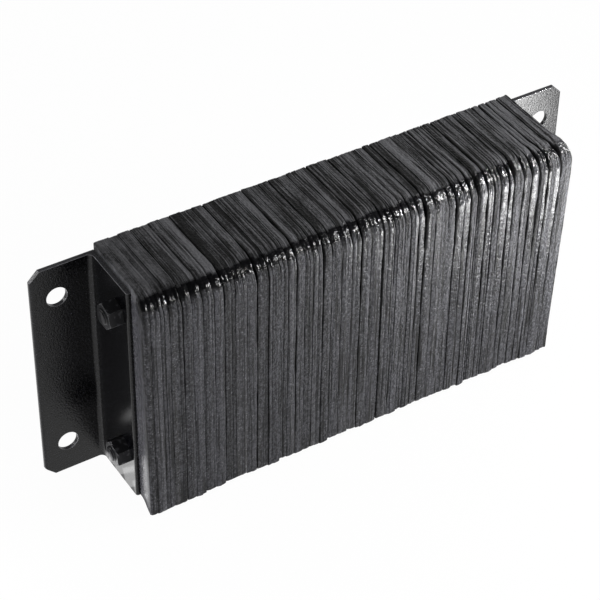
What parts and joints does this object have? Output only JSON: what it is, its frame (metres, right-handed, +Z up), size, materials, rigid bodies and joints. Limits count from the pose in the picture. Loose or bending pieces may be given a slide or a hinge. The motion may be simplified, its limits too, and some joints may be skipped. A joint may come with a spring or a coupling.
{
  "type": "dock bumper",
  "caption": "Laminated dock bumper: upright rubber pads pressed side by side between black steel angles by tie rods, bolted to a wall through the angles' flanges.",
  "frame": {"origin": "centre of the four wall bolt holes, on the wall plane that the flanges' backs lie on", "axes": "+X along the stack of pads, from left to right as seen by a lorry backing in; +Y into the wall; +Z up"},
  "size_m": [0.5842, 0.1021, 0.2582],
  "materials": {
    "rubber_pad": "cut tyre ply, matt with a worn sheen",
    "angle_paint": "gloss black paint with orange peel",
    "rod_paint": "gloss black paint over steel thread"
  },
  "bodies": {
    "root": {"angle_left": "angle_paint", "angle_right": "angle_paint", "tie_rod_upper": "rod_paint", "tie_rod_lower": "rod_paint", "nut_left_upper": "rod_paint", "nut_left_lower": "rod_paint", "nut_right_upper": "rod_paint", "nut_right_lower": "rod_paint", "pad_01": "rubber_pad", "pad_02": "rubber_pad", "pad_03": "rubber_pad", "pad_04": "rubber_pad", "pad_05": "rubber_pad", "pad_06": "rubber_pad", "pad_07": "rubber_pad", "pad_08": "rubber_pad", "pad_09": "rubber_pad", "pad_10": "rubber_pad", "pad_11": "rubber_pad", "pad_12": "rubber_pad", "pad_13": "rubber_pad", "pad_14": "rubber_pad", "pad_15": "rubber_pad", "pad_16": "rubber_pad", "pad_17": "rubber_pad", "pad_18": "rubber_pad", "pad_19": "rubber_pad", "pad_20": "rubber_pad", "pad_21": "rubber_pad", "pad_22": "rubber_pad", "pad_23": "rubber_pad", "pad_24": "rubber_pad", "pad_25": "rubber_pad", "pad_26": "rubber_pad", "pad_27": "rubber_pad", "pad_28": "rubber_pad", "pad_29": "rubber_pad", "pad_30": "rubber_pad", "pad_31": "rubber_pad", "pad_32": "rubber_pad", "pad_33": "rubber_pad", "pad_34": "rubber_pad", "pad_35": "rubber_pad", "pad_36": "rubber_pad", "pad_37": "rubber_pad", "pad_38": "rubber_pad", "pad_39": "rubber_pad", "pad_40": "rubber_pad", "pad_41": "rubber_pad", "pad_42": "rubber_pad", "pad_43": "rubber_pad", "pad_44": "rubber_pad", "pad_45": "rubber_pad", "pad_46": "rubber_pad"}
  },
  "joints": []
}
